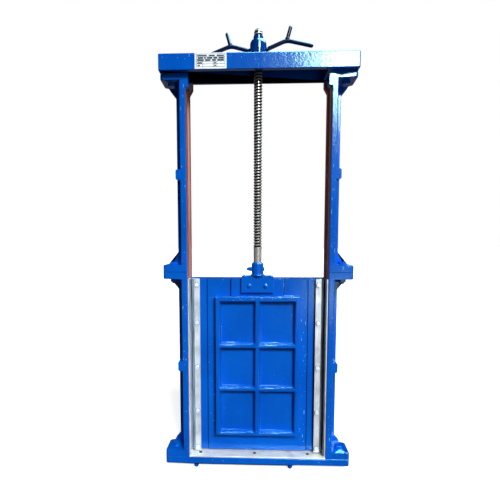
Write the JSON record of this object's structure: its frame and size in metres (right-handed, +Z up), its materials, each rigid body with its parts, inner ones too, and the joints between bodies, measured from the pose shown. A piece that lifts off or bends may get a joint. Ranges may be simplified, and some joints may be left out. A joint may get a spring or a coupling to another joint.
{
  "type": "sluice gate",
  "caption": "Wall-mounted cast-iron sluice gate: a ribbed rectangular door slides up in a flanged post frame, drawn by a rising threaded spindle through a hand-turned lift nut on the yoke.",
  "frame": {"origin": "on the wall face, on the gate's centreline, level with the top of the bottom beam", "axes": "+Z up along the spindle, +Y into the wall, so the front faces -Y; +X to the right as seen from the front"},
  "size_m": [0.66, 0.121, 1.5369],
  "materials": {
    "blue_enamel": "thick glossy blue enamel over rough cast iron, with runs and specks",
    "navy_enamel": "dark blue gloss paint on round bar",
    "bare_steel": "bare bright steel strip, dull with handling",
    "spindle_steel": "turned steel, oily in the thread",
    "bronze": "machined bronze",
    "rubber": "black moulded rubber, dusty",
    "nameplate": "blank ruled aluminium plate"
  },
  "bodies": {
    "frame": {"bottom_beam": "blue_enamel", "left_lower_post": "blue_enamel", "right_lower_post": "blue_enamel", "left_upper_post": "blue_enamel", "right_upper_post": "blue_enamel", "yoke_beam": "blue_enamel", "seat_frame": "blue_enamel", "left_foot_bolt": "blue_enamel", "right_foot_bolt": "blue_enamel", "left_mid_bolt": "blue_enamel", "right_mid_bolt": "blue_enamel", "left_top_bolt": "blue_enamel", "right_top_bolt": "blue_enamel", "seat_facing": "bronze", "left_guide_liner": "bare_steel", "right_guide_liner": "bare_steel", "sill_plate": "bare_steel", "nameplate": "nameplate", "thrust_washer": "bronze"},
    "gate": {"gate_door": "blue_enamel", "left_side_seal": "rubber", "right_side_seal": "rubber", "left_seal_bar": "bare_steel", "right_seal_bar": "bare_steel", "left_bar_bolts": "bare_steel", "right_bar_bolts": "bare_steel", "spindle_bracket": "blue_enamel", "bracket_bolts": "blue_enamel", "spindle": "spindle_steel", "spindle_pin": "blue_enamel"},
    "handle": {"lift_nut": "blue_enamel", "retaining_collar": "spindle_steel", "left_arm": "navy_enamel", "right_arm": "navy_enamel"}
  },
  "joints": [
    {"name": "handle_turn", "type": "hinge", "parent": "frame", "child": "handle", "pos_m": [0, -0.06, 1.42], "axis": [0, 0, -1], "range_deg": [0, 18000]},
    {"name": "gate_lift", "type": "slide", "parent": "frame", "child": "gate", "axis": [0, 0, 1], "range_m": [0, 0.5]}
  ],
  "couplings": [
    {"joint": "gate_lift", "follows": "handle_turn", "m_per_rad": 0.0015915}
  ]
}
